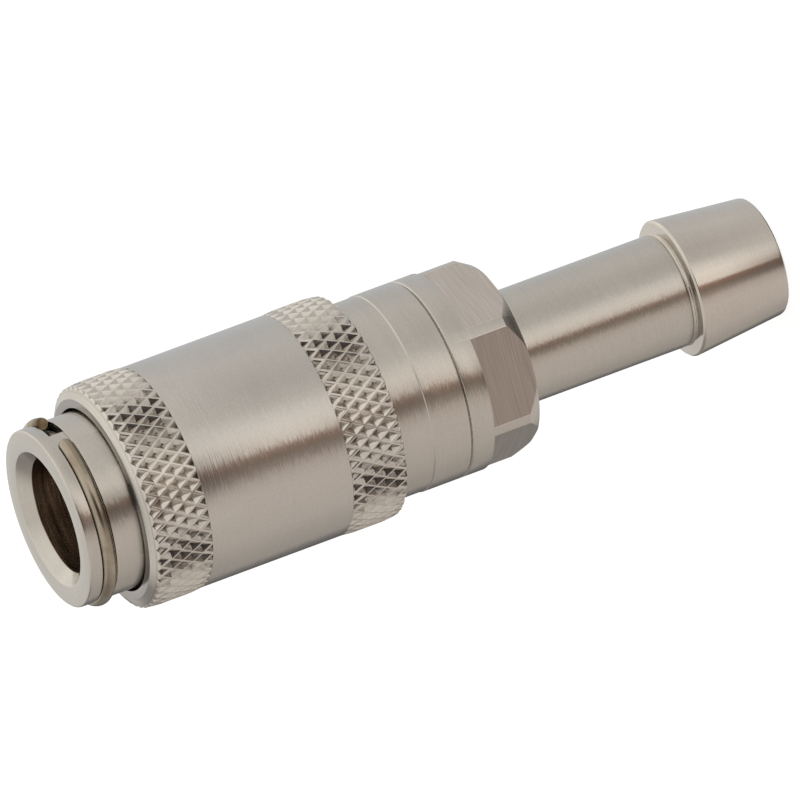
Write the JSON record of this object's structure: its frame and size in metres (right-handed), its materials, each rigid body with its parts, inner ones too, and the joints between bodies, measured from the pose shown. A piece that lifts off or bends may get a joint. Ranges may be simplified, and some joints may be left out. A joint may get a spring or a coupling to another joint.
{
  "type": "hose tail coupling",
  "caption": "Quick-release hose coupling with a knurled locking sleeve, ball lock and spring-loaded valve inside, spanner flats and a single-barb hose tail.",
  "frame": {"origin": "centre of the hose tail's end face, on which the coupling stands", "axes": "+Z runs along the coupling's axis from the hose tail up to the plug socket; +X points to the first locking ball, and the stop ring's gap lies between +X and -Y"},
  "size_m": [0.0166, 0.0166, 0.0563],
  "materials": {
    "nickel_plate": "satin nickel plating over turned brass",
    "spring_wire": "drawn steel wire, slightly browned",
    "ball_steel": "polished bearing steel",
    "seal_rubber": "black nitrile rubber"
  },
  "bodies": {
    "coupling_body": {"nose_body": "nickel_plate", "stop_ring": "spring_wire", "hose_tail": "nickel_plate", "body_seal": "seal_rubber", "guide_seal": "seal_rubber", "valve_spring": "spring_wire"},
    "sleeve_spring": {"sleeve_spring": "spring_wire"},
    "sleeve": {"locking_sleeve": "nickel_plate"},
    "valve": {"valve_body": "nickel_plate", "plug_seal": "seal_rubber", "valve_seal": "seal_rubber"},
    "ball_1": {"ball_1": "ball_steel"},
    "ball_2": {"ball_2": "ball_steel"},
    "ball_3": {"ball_3": "ball_steel"},
    "ball_4": {"ball_4": "ball_steel"},
    "ball_5": {"ball_5": "ball_steel"},
    "ball_6": {"ball_6": "ball_steel"}
  },
  "joints": [
    {"name": "sleeve_spin", "type": "hinge", "parent": "coupling_body", "child": "sleeve_spring", "pos_m": [0, 0, 0.04], "axis": [0, 0, 1], "continuous": true},
    {"name": "sleeve_slide", "type": "slide", "parent": "sleeve_spring", "child": "sleeve", "axis": [0, 0, 1], "range_m": [0, 0.0022], "deforming": ["sleeve_spring"]},
    {"name": "valve_slide", "type": "slide", "parent": "coupling_body", "child": "valve", "axis": [0, 0, -1], "range_m": [0, 0.0058], "stiffness_N_per_m": 500, "springref_m": -0.004, "deforming": ["valve_spring"]},
    {"name": "ball_1_slide", "type": "slide", "parent": "coupling_body", "child": "ball_1", "axis": [-1, 0, 0], "range_m": [0, 0.00054]},
    {"name": "ball_2_slide", "type": "slide", "parent": "coupling_body", "child": "ball_2", "axis": [-0.5, -0.866, 0], "range_m": [0, 0.00054]},
    {"name": "ball_3_slide", "type": "slide", "parent": "coupling_body", "child": "ball_3", "axis": [0.5, -0.866, 0], "range_m": [0, 0.00054]},
    {"name": "ball_4_slide", "type": "slide", "parent": "coupling_body", "child": "ball_4", "axis": [1, 0, 0], "range_m": [0, 0.00054]},
    {"name": "ball_5_slide", "type": "slide", "parent": "coupling_body", "child": "ball_5", "axis": [0.5, 0.866, 0], "range_m": [0, 0.00054]},
    {"name": "ball_6_slide", "type": "slide", "parent": "coupling_body", "child": "ball_6", "axis": [-0.5, 0.866, 0], "range_m": [0, 0.00054]}
  ],
  "couplings": [
    {"joint": "valve_slide", "follows": "sleeve_slide", "ratio": 2.6364},
    {"joint": "ball_1_slide", "follows": "sleeve_slide", "ratio": 0.24545},
    {"joint": "ball_2_slide", "follows": "sleeve_slide", "ratio": 0.24545},
    {"joint": "ball_3_slide", "follows": "sleeve_slide", "ratio": 0.24545},
    {"joint": "ball_4_slide", "follows": "sleeve_slide", "ratio": 0.24545},
    {"joint": "ball_5_slide", "follows": "sleeve_slide", "ratio": 0.24545},
    {"joint": "ball_6_slide", "follows": "sleeve_slide", "ratio": 0.24545}
  ]
}
